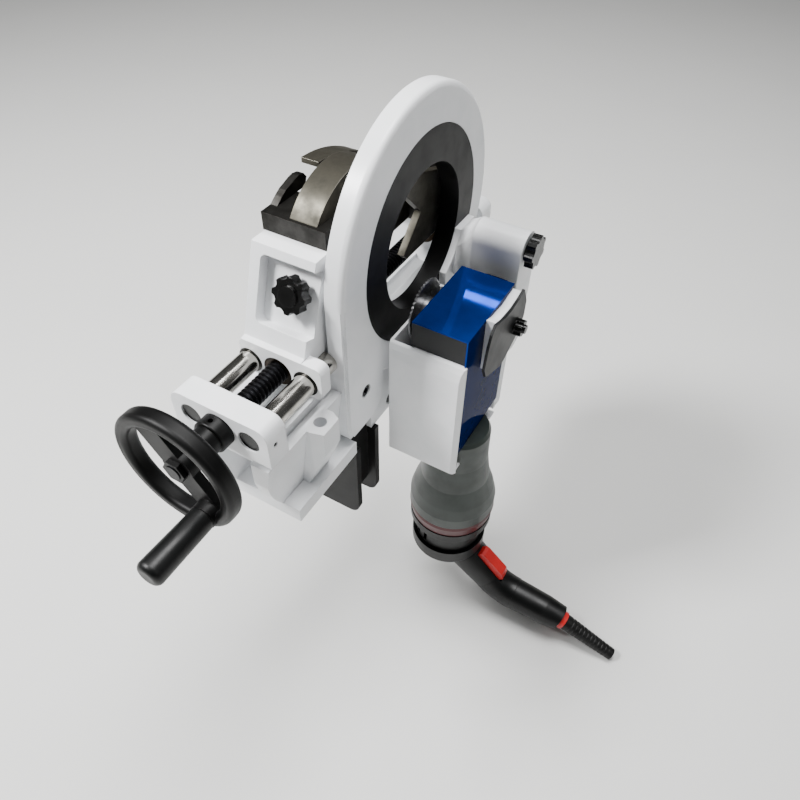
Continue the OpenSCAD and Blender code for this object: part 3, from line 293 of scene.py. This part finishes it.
# Baked on welded and turned steel: black, with a dull sheen that lets the edges show
black_enamel = enamel(
    "black_enamel_on_steel", "#030303", "#070707", "#1c1c1d",
    shine=0.42, peel=0.012, round_mm=0.8, gloss=0.22,
)

# Sprayed on the gear housing: nearly black, with a trace of grey in it
slate_enamel = enamel(
    "slate_enamel_on_housing", "#0f1011", "#151618", "#3c3c40",
    shine=0.4, peel=0.02, round_mm=0.8, gloss=0.3,
)

# %% [markdown]
# ## Bare metal
# Ground rods, blackened screws and bronze bushes differ in colour and in the marks of the tool.
# Turning leaves fine rings and grinding leaves fine lines, far too fine to see one by one, so
# they are drawn 0.4 mm wide and only disturb the gloss. A mirror with a slightly uneven
# roughness already reads as metal, so no more is drawn.

# %% Bare metal
FILM_MM = 14
LINE_SMOOTHER, LINE_ROUGHER = 0.06, 0.08


def bare_metal(name, colour, oily, rough=0.3, lines=(1, 1, 1), line_mm=0.4, depth=0.004, round_mm=0.4):
    """Metal: two tones of oxide or oil, and fine lines from the tool, drawn out along the axis
    whose number in lines is small, or an even grain where all three are 1."""
    material, tree, shader, place = blank(name)
    film = spots(tree, place, FILM_MM, low=0.4, high=0.72)
    toned = add(tree, "ShaderNodeMix", IN_COLOUR, i0=film, i6=linear(colour), i7=linear(oily))
    tree.links.new(toned.outputs[MIXED], shader.inputs["Base Color"])
    shader.inputs["Metallic"].default_value = 1.0
    streak = spots(tree, place, line_mm, low=0.3, high=0.7, detail=1, stretch=lines)
    smoothest, roughest = rough - LINE_SMOOTHER, rough + LINE_ROUGHER
    level = add(tree, "ShaderNodeMapRange", Value=streak, To_Min=smoothest, To_Max=roughest)
    tree.links.new(level.outputs["Result"], shader.inputs["Roughness"])
    tree.links.new(relief(tree, streak, depth, round_mm), shader.inputs["Normal"])
    return material


# Ground and hardened: a warm mirror with fine lines along the rods, where the carriages slide
ground_steel = bare_metal(
    "ground_bearing_steel", "#c6c3bd", "#a5a29b", rough=0.16, lines=(1, 0.03, 1), depth=0.0008
)

# Turned on a lathe: neutral grey, with a broader and softer highlight
turned_steel = bare_metal("turned_steel", "#b9b9bb", "#9a9a9c", rough=0.3, lines=(0.05, 1, 1))

# Blackened in a hot salt bath: charcoal that still shines like a metal
black_oxide = bare_metal("blackened_steel", "#1e1e20", "#131315", rough=0.38)

# Milled, with old oil on it: dark, a little brown and dull
dark_block = bare_metal("oiled_dark_steel", "#383735", "#252422", rough=0.45, depth=0.01)

# Cast and bored, soaked with oil: a brown so dark that it only shows in the light
bronze = bare_metal("oily_bronze", "#2c2219", "#1a140e", rough=0.42, lines=(1, 0.1, 1))

# Plated with zinc: light and a little blue
zinc = bare_metal("zinc_plated_steel", "#cfd1d4", "#b5b9be", rough=0.28)

# %% [markdown]
# ## Cast claws
# The claws are thick plates of cast steel, ground on the flanks and left with a thin olive film
# of oil and oxide. The film is broad and uneven, the skin is pitted, and a pale colour along the
# edges is a painted highlight. That is three masks over one metal, so the claws get a function
# of their own.

# %% Cast claws
CLAW_FILM_MM, CLAW_PIT_MM, CLAW_EDGE_MM = 22, 1.1, 0.8
CLAW_SMOOTHEST, CLAW_ROUGHEST = 0.38, 0.55
CLAW_METALLIC, CLAW_PIT_DEPTH_MM, CLAW_ROUND_MM = 0.75, 0.03, 0.8


def cast_steel(name, colour, film_colour, edge_highlight):
    """Rough oily metal: a broad film, small pits and a painted highlight along the edges."""
    material, tree, shader, place = blank(name)
    film = spots(tree, place, CLAW_FILM_MM, low=0.35, high=0.7, detail=5)
    flank = add(tree, "ShaderNodeMix", IN_COLOUR, i0=film, i6=linear(colour), i7=linear(film_colour))
    edge, body = edge_mask(tree, CLAW_EDGE_MM), flank.outputs[MIXED]
    # A pale colour along the edges: a painted highlight
    whole = add(tree, "ShaderNodeMix", IN_COLOUR, i0=edge, i6=body, i7=linear(edge_highlight))
    tree.links.new(whole.outputs[MIXED], shader.inputs["Base Color"])
    shader.inputs["Metallic"].default_value = CLAW_METALLIC
    level = add(tree, "ShaderNodeMapRange", Value=film, To_Min=CLAW_SMOOTHEST, To_Max=CLAW_ROUGHEST)
    tree.links.new(level.outputs["Result"], shader.inputs["Roughness"])
    pits = add(tree, "ShaderNodeTexNoise", Vector=place, Scale=1 / (CLAW_PIT_MM * MM), Detail=4)
    bump = relief(tree, pits.outputs["Fac"], CLAW_PIT_DEPTH_MM, CLAW_ROUND_MM)
    tree.links.new(bump, shader.inputs["Normal"])
    return material


# The last colour is the painted highlight along the claws' edges
claw_steel = cast_steel("oiled_cast_steel", "#4f4c43", "#37352e", "#86837a")

# %% [markdown]
# ## Moulded plastic and rubber
# The motor's shells are nylon filled with glass, from a mould whose walls were spark eroded, so
# they have a fine grain that breaks up the highlights. The real grain is too fine to show, so it
# is drawn 0.6 mm wide. The red parts are the same nylon with less of it.

# %% Moulded plastic and rubber
SHADE_MM = 30
SHADE_SMOOTHER, SHADE_ROUGHER = 0.05, 0.07
PLASTIC_IOR = 1.53


def moulded(name, colour, second, rough=0.45, grain_mm=0.6, depth=0.03, round_mm=0.8, gloss=0.5):
    """Plastic: almost even colour, a fine grain, soft edges."""
    material, tree, shader, place = blank(name)
    clouds = spots(tree, place, SHADE_MM, low=0.4, high=0.7)
    toned = add(tree, "ShaderNodeMix", IN_COLOUR, i0=clouds, i6=linear(colour), i7=linear(second))
    tree.links.new(toned.outputs[MIXED], shader.inputs["Base Color"])
    smoothest, roughest = rough - SHADE_SMOOTHER, rough + SHADE_ROUGHER
    level = add(tree, "ShaderNodeMapRange", Value=clouds, To_Min=smoothest, To_Max=roughest)
    tree.links.new(level.outputs["Result"], shader.inputs["Roughness"])
    grain = add(tree, "ShaderNodeTexNoise", Vector=place, Scale=1 / (grain_mm * MM), Detail=2)
    tree.links.new(relief(tree, grain.outputs["Fac"], depth, round_mm), shader.inputs["Normal"])
    shader.inputs["IOR"].default_value = PLASTIC_IOR
    shader.inputs["Specular IOR Level"].default_value = gloss
    return material


# Glass-filled nylon of the motor case: a dark grey with some green in it, and matt
motor_nylon = moulded("motor_shell_nylon", "#343c38", "#2b322e", rough=0.4, gloss=0.4)

# Nylon of the band: a dark red, smoother than the case
maroon_nylon = moulded("maroon_nylon", "#4c0f14", "#3e0b10", rough=0.36, depth=0.015, gloss=0.3)

# Nylon of the switch and the handle's ring: a clear red that is easy to find
signal_nylon = moulded("signal_red_nylon", "#cf2a2a", "#b82222", rough=0.34, depth=0.01, gloss=0.35)

# Nylon of the handle and the rear housing: black, with a broad weak highlight
black_nylon = moulded("black_nylon", "#050606", "#030404", rough=0.42, gloss=0.3)

# Phenolic resin, pressed hot in a polished mould: black with a sharper highlight
knob_phenolic = moulded("black_phenolic", "#040404", "#080808", rough=0.25, depth=0.004, gloss=0.35)

# Vulcanised rubber: black and dull
cord_rubber = moulded("black_rubber", "#060606", "#0b0b0b", rough=0.5, depth=0.02, gloss=0.3)

# Copper wire under varnish, wound on the stator: an amber brown
varnished_wire = moulded("varnished_winding", "#7a4a26", "#5c3519", rough=0.4)

# %% [markdown]
# ## Pale ground
# The ground stands for a roll of pale studio paper. Paper is matt and almost one colour, so one
# wide, hardly visible cloud is all that it needs. It isn't quite white, because a white floor
# throws so much light back up that the black parts turn grey.

# %% Pale ground
PAPER_CLOUD_MM, PAPER_ROUGHNESS = 400, 0.85


def pale_ground():
    """A matt, nearly white floor with a hardly visible cloud in it."""
    material, tree, shader, place = blank("pale_studio_paper")
    cloud = spots(tree, place, PAPER_CLOUD_MM, low=0.3, high=0.8)
    white, grey = linear("#e2e2e0"), linear("#dfdfdd")
    paper = add(tree, "ShaderNodeMix", IN_COLOUR, i0=cloud, i6=white, i7=grey)
    tree.links.new(paper.outputs[MIXED], shader.inputs["Base Color"])
    shader.inputs["Roughness"].default_value = PAPER_ROUGHNESS
    return material


floor.data.materials.append(pale_ground())

# %% [markdown]
# ## Which part wears which finish
# A finish belongs to what the part is made of, so the parts are listed under their finishes. A
# part of the frame keeps its mesh, and only its material slot changes.

# %% Dressing the frame
FINISHES = [
    (white_enamel, "base_casting ring_plate carriage far_carriage pivot_bracket front_cover side_plate"),
    (black_enamel, "bench_bracket rotor_disc handwheel thrust_collar wheel_nut"),
    (blue_enamel, "blade_guard"),
    (slate_enamel, "gear_housing plate_cover"),
    (ground_steel, "guide_rods bearing_outer bearing_inner bearing_balls"),
    (turned_steel, "pivot_shaft blade_arbor crown_gear armature grip_pin switch_pin saw_blade"),
    (turned_steel, "arbor_bearings motor_bearings"),
    (zinc, "circlip"),
    (black_oxide, "rod_screws ring_bolts bracket_bolts jaw_bolts far_jaw_bolts blade_nut lead_screw"),
    (black_oxide, "bearing_retainer"),
    (dark_block, "jaw_block far_jaw_block carriage_bushes claw_side"),
    (claw_steel, "claw_main far_claws"),
    (bronze, "screw_bushes lead_nut far_nut"),
    (motor_nylon, "motor_case"),
    (maroon_nylon, "motor_band"),
    (signal_nylon, "handle_ring paddle_switch"),
    (black_nylon, "rear_housing motor_handle cooling_fan crank_grip"),
    (knob_phenolic, "star_knob pivot_knob lock_knob"),
    (cord_rubber, "cord_sleeve"),
    (varnished_wire, "stator"),
]
for material, names in FINISHES:
    for name in names.split():
        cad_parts[name].material_slots[0].material = material
dressed = {name for _, names in FINISHES for name in names.split()}
print("undressed nodes:", sorted(set(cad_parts) - dressed))

# %% [markdown]
# ## Surfaces from a profile
# A turned piece is a profile carried round an axis, and a thread only lets the radius depend on
# the angle too. So each new piece here is a grid of points: rows along the profile, columns round
# the axis. Whole arrays are worked out at once, and one function turns them into a closed skin.

# %% A skin over a grid
MERGE_M, SHARP = 1e-7, math.radians(35)


def skin(name, points, body, material, ring=False):
    """A closed skin over points[row, column]. Columns close round; rows close too if ring is true,
    and otherwise the first and last row have shrunk to one point each and are merged. Its faces are
    corners (row, column), (row, column + 1), (row + 1, column + 1) and (row + 1, column)."""
    rows, columns = points.shape[:2]
    row = np.arange(rows if ring else rows - 1)[:, None]
    column = np.arange(columns)[None, :]
    here, below = row * columns, (row + 1) % rows * columns
    beside = (column + 1) % columns
    faces = np.stack([here + column, here + beside, below + beside, below + column], -1)
    mesh = bpy.data.meshes.new(name)
    mesh.from_pydata((points.reshape(-1, 3) * MM).tolist(), [], faces.reshape(-1, 4).tolist())
    work = bmesh.new()
    work.from_mesh(mesh)
    bmesh.ops.remove_doubles(work, verts=work.verts, dist=MERGE_M)
    bmesh.ops.recalc_face_normals(work, faces=work.faces)
    work.to_mesh(mesh)
    work.free()
    mesh.shade_smooth()
    mesh.set_sharp_from_angle(angle=SHARP)
    mesh.materials.append(material)
    piece = bpy.data.objects.new(name, mesh)
    bpy.context.scene.collection.objects.link(piece)
    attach(piece, body)
    print(name, "faces:", len(mesh.polygons))
    return piece


# %% [markdown]
# ## Profiles round an axis
# An axis and one side direction fix a turned piece in space, since their cross product gives the
# third. Each point is then the profile's place along the axis plus its radius along a spoke, and
# 64 spokes look round at this size.

# %% Profiles round an axis
ROUND = 64


def turned(origin, axis, side, along, radius):
    """Points round an axis: origin + along * axis + radius * (side cos a + (axis x side) sin a).
    along and radius hold a value per row, and radius may hold one per row and column."""
    axis, side = (np.array(v, float) for v in (axis, side))
    angle = np.linspace(0, 2 * np.pi, ROUND, endpoint=False)
    spoke = np.cos(angle)[:, None] * side + np.sin(angle)[:, None] * np.cross(axis, side)
    radius = np.broadcast_to(np.reshape(radius, (len(along), -1)), (len(along), ROUND))
    spine = np.array(origin, float) + np.asarray(along, float)[:, None, None] * axis
    return spine + radius[..., None] * spoke


def tenths(metres):
    """A length of the frame in millimetres, to a tenth."""
    return round(metres / MM, 1)


print("spokes:", ROUND)

# %% [markdown]
# ## The lead screw
# One screw closes both jaws, so it has a right-hand thread under one carriage and a left-hand
# thread under the other, with a plain neck between. The thread is a trapezoid of 5 mm pitch. A
# helix needs no spiral mesh: on a straight grid the radius is read from where the thread's phase,
# y / pitch - turns of the angle, falls between two crests.

# %% The screw's sizes
screw_low, screw_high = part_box("lead_screw")
SCREW_X, SCREW_Z = (tenths((screw_low[k] + screw_high[k]) / 2) for k in (0, 2))
SCREW_FRONT, SCREW_BACK = tenths(screw_low.y), tenths(screw_high.y)
COLLAR_FRONT = tenths(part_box("thrust_collar")[0].y)
THREAD_START, THREAD_END = -246.7, 149.7
NECK_Y, NECK_HALF, NECK_R = (THREAD_START + THREAD_END) / 2, 8, 8.5
PITCH, CREST, DEPTH = 5.0, 11.0, 2.1
GROOVE_HALF, FLANK = 0.32, 0.17
RUN_OUT, ROW_STEP = 4, 0.45
JOURNAL, SHAFT = 10.0, 8.0
END_CHAMFER, STEP_CHAMFER, THREAD_GAP = 0.8, 0.5, 0.1
print("screw, mm:", SCREW_FRONT, "to", SCREW_BACK, "at x", SCREW_X, "z", SCREW_Z)

# %% The thread


def threaded(y):
    """Radius by row and column: crest - depth * trapezoid(phase), shallower to each end of a
    thread, and a plain neck where the two hands meet."""
    turns = np.arange(ROUND)[None, :] / ROUND
    hand = np.where(y < NECK_Y, -1.0, 1.0)[:, None]
    phase = (y[:, None] / PITCH - hand * turns) % 1
    groove = np.clip((GROOVE_HALF - np.abs(phase - 0.5)) / FLANK, 0, 1)
    to_neck = np.abs(y - NECK_Y) - NECK_HALF
    to_end = np.minimum(np.minimum(y - THREAD_START, THREAD_END - y), to_neck)[:, None]
    return np.where(to_end < 0, NECK_R, CREST - DEPTH * groove * np.clip(to_end / RUN_OUT, 0, 1))


def plain(profile):
    """The radius of each (y, radius) of a profile, the same in every column."""
    return np.repeat([[radius] for _, radius in profile], ROUND, axis=1)


thread_y = np.arange(THREAD_START, THREAD_END, ROW_STEP)
front = [
    (SCREW_FRONT, 0.0),
    (SCREW_FRONT, SHAFT - END_CHAMFER),
    (SCREW_FRONT + END_CHAMFER, SHAFT),
    (COLLAR_FRONT, SHAFT),
    (COLLAR_FRONT, JOURNAL - STEP_CHAMFER),
    (COLLAR_FRONT + STEP_CHAMFER, JOURNAL),
    (THREAD_START - THREAD_GAP, JOURNAL),
]
back = [
    (THREAD_END + THREAD_GAP, JOURNAL),
    (SCREW_BACK - STEP_CHAMFER, JOURNAL),
    (SCREW_BACK, JOURNAL - STEP_CHAMFER),
    (SCREW_BACK, 0.0),
]
screw_y = np.concatenate([[y for y, _ in front], thread_y, [y for y, _ in back]])
screw_r = np.concatenate([plain(front), threaded(thread_y), plain(back)])
screw_points = turned((SCREW_X, 0, SCREW_Z), (0, 1, 0), (0, 0, 1), screw_y, screw_r)
screw = skin("threaded_screw", screw_points, "screw", black_oxide)
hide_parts("lead_screw")

# %% [markdown]
# ## Painted shade over the guide rods
# The bores of the guide rods run out through the front wall. Black cups a little below its face
# darken the rods' ends there, as painted shade of the deep bores. Each is a turned cup with a
# chamfered edge and a shallow dish, so a profile of seven points says all of it.

# %% Rod shade cups
ROD_OFFSET = 32.4
SHADE_CUP_R, SHADE_CUP_LENGTH, SHADE_CUP_CHAMFER, SHADE_CUP_GAP = 11.3, 3.6, 0.5, 0.1
RIM_R, DISH = 9.6, 0.7

shade_cup_back = tenths(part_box("guide_rods")[0].y) - SHADE_CUP_GAP
shade_cup_face = shade_cup_back - SHADE_CUP_LENGTH
cup = [
    (shade_cup_back, 0.0),
    (shade_cup_back, SHADE_CUP_R),
    (shade_cup_face + SHADE_CUP_CHAMFER, SHADE_CUP_R),
    (shade_cup_face, SHADE_CUP_R - SHADE_CUP_CHAMFER),
    (shade_cup_face, RIM_R),
    (shade_cup_face + DISH, RIM_R - DISH),
    (shade_cup_face + DISH, 0.0),
]
cup_y, cup_r = zip(*cup)
# Black cups at the ends of the rods: painted shade in their deep bores
for side, rod_x in (("left", SCREW_X - ROD_OFFSET), ("right", SCREW_X + ROD_OFFSET)):
    cup_points = turned((rod_x, 0, SCREW_Z), (0, 1, 0), (0, 0, 1), cup_y, cup_r)
    skin(f"rod_shade_cup_{side}", cup_points, "frame", black_nylon)

# %% [markdown]
# ## The cord's gland
# The rubber sleeve on the end of the handle is a slim cone with shallow rings, 6 mm apart, that let
# it bend. Its profile is a closed loop, out along the cone and back through the bore, so the rows of
# its grid close too.

# %% Ribbed sleeve
SLEEVE_AT, SLEEVE_TILT = (258.0, -36.0, -511.0), math.radians(108)
SPIGOT_START, SPIGOT_R, BORE_R = -14, 7.5, 4.5
CONE_START, CONE_END, CONE_ROWS = 8.1, 85.2, 160
CONE_R, CONE_TAPER = 11.5, 3.0 / 78
TIP, TIP_R, TIP_BORE_R, TIP_BORE_Z = 86.0, 8.0, 5.0, 85.6
RING_PITCH, RING_DEPTH, RING_FADE = 6, 0.6, 4
RINGS_START, RINGS_END = 14, 80


def groove_depth(z):
    """0 on the rings and 1 in the grooves between them: clip(2.2 cos(turns of the pitch) - 0.9),
    faded in and out at the ends of the ringed stretch."""
    wave = np.clip(np.cos(2 * np.pi * z / RING_PITCH) * 2.2 - 0.9, 0, 1)
    fade_in = np.clip((z - RINGS_START) / RING_FADE, 0, 1)
    fade_out = np.clip((RINGS_END - z) / RING_FADE, 0, 1)
    return wave * fade_in * fade_out


sleeve_axis = (math.sin(SLEEVE_TILT), 0, math.cos(SLEEVE_TILT))
cone_z = np.linspace(CONE_START, CONE_END, CONE_ROWS)
cone_r = CONE_R - CONE_TAPER * (cone_z - CONE_START) - RING_DEPTH * groove_depth(cone_z)
sleeve_z = np.concatenate([[SPIGOT_START, SPIGOT_START, CONE_START], cone_z, [TIP, TIP, TIP_BORE_Z]])
sleeve_r = np.concatenate([[BORE_R, SPIGOT_R, SPIGOT_R], cone_r, [TIP_R, TIP_BORE_R, BORE_R]])
sleeve_points = turned(SLEEVE_AT, sleeve_axis, (0, 1, 0), sleeve_z, sleeve_r)
sleeve = skin("ribbed_sleeve", sleeve_points, "head", cord_rubber, ring=True)
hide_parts("cord_sleeve")
